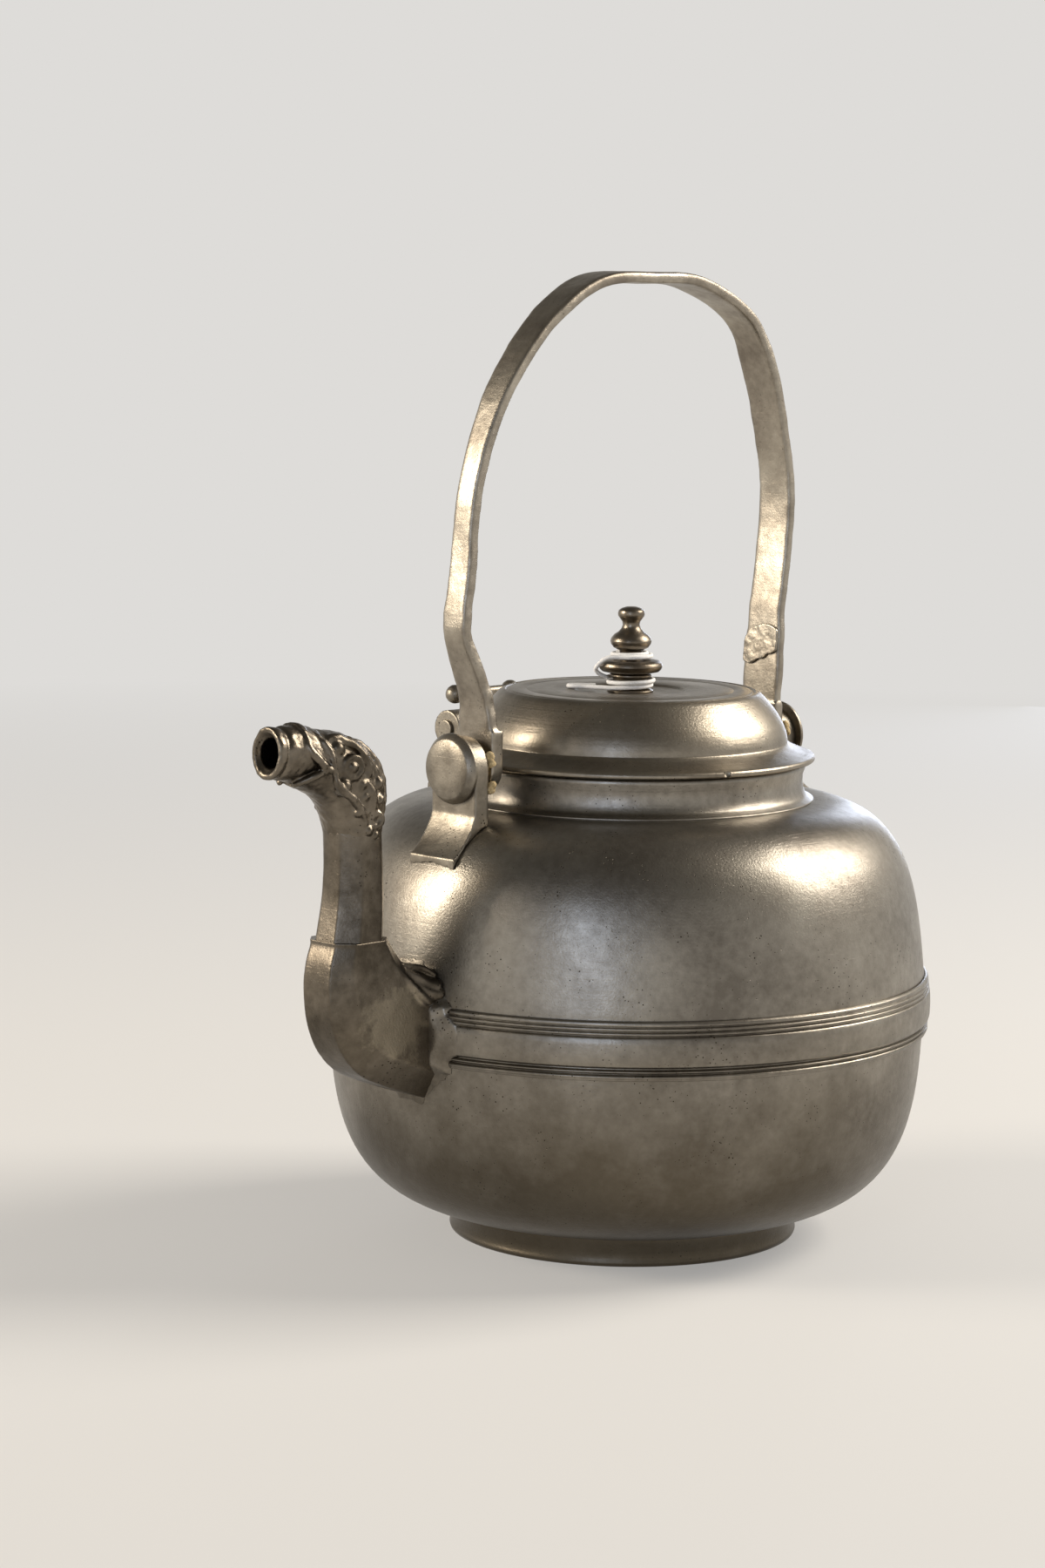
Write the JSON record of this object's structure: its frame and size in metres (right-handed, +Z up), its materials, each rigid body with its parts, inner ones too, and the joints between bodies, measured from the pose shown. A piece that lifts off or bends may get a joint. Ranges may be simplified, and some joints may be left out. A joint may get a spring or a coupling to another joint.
{
  "type": "teapot",
  "caption": "Round pewter teapot with a grooved belt, hinged lid with turned knob, flat bail handle and a faceted spout that ends in a serpent's head.",
  "frame": {"origin": "on the table under the middle of the whole length from the spout's mouth to the back of the belt", "axes": "+Z up, -X towards the spout, +Y towards the lid's hinge"},
  "size_m": [0.2182, 0.17, 0.2668],
  "materials": {
    "pewter": "satin, worn cast pewter",
    "dull_pewter": "dull, oxidised pewter",
    "strap_metal": "satin, hammered strap",
    "fibre": "rough dry fibre",
    "cotton": "matte twisted cotton"
  },
  "bodies": {
    "pot": {"body_lower": "pewter", "body_upper": "pewter", "foot_ring": "pewter", "belly_belt": "pewter", "neck_collar": "pewter", "hinge_bracket": "pewter", "hinge_pin": "pewter", "front_ear": "pewter", "rear_ear": "pewter", "front_pin": "pewter", "rear_pin": "pewter", "front_packing": "fibre", "rear_packing": "fibre", "spout_seat": "dull_pewter", "spout_foot": "pewter", "spout_neck": "pewter", "spout_head": "dull_pewter"},
    "lid": {"lid_cover": "pewter", "lid_skirt": "pewter", "lid_knob": "pewter", "knob_washer": "pewter", "hinge_tab": "pewter", "thumbpiece": "pewter", "knob_string": "cotton"},
    "bail": {"bail_strap": "strap_metal", "bail_patch": "strap_metal"}
  },
  "joints": [
    {"name": "bail_swing", "type": "hinge", "parent": "pot", "child": "bail", "pos_m": [0.02415, 0, 0.135], "axis": [1, 0, 0], "range_deg": [-100, 100]},
    {"name": "lid_lift", "type": "hinge", "parent": "pot", "child": "lid", "pos_m": [0.02415, 0.059, 0.1365], "axis": [-1, 0, 0], "range_deg": [0, 90]}
  ]
}
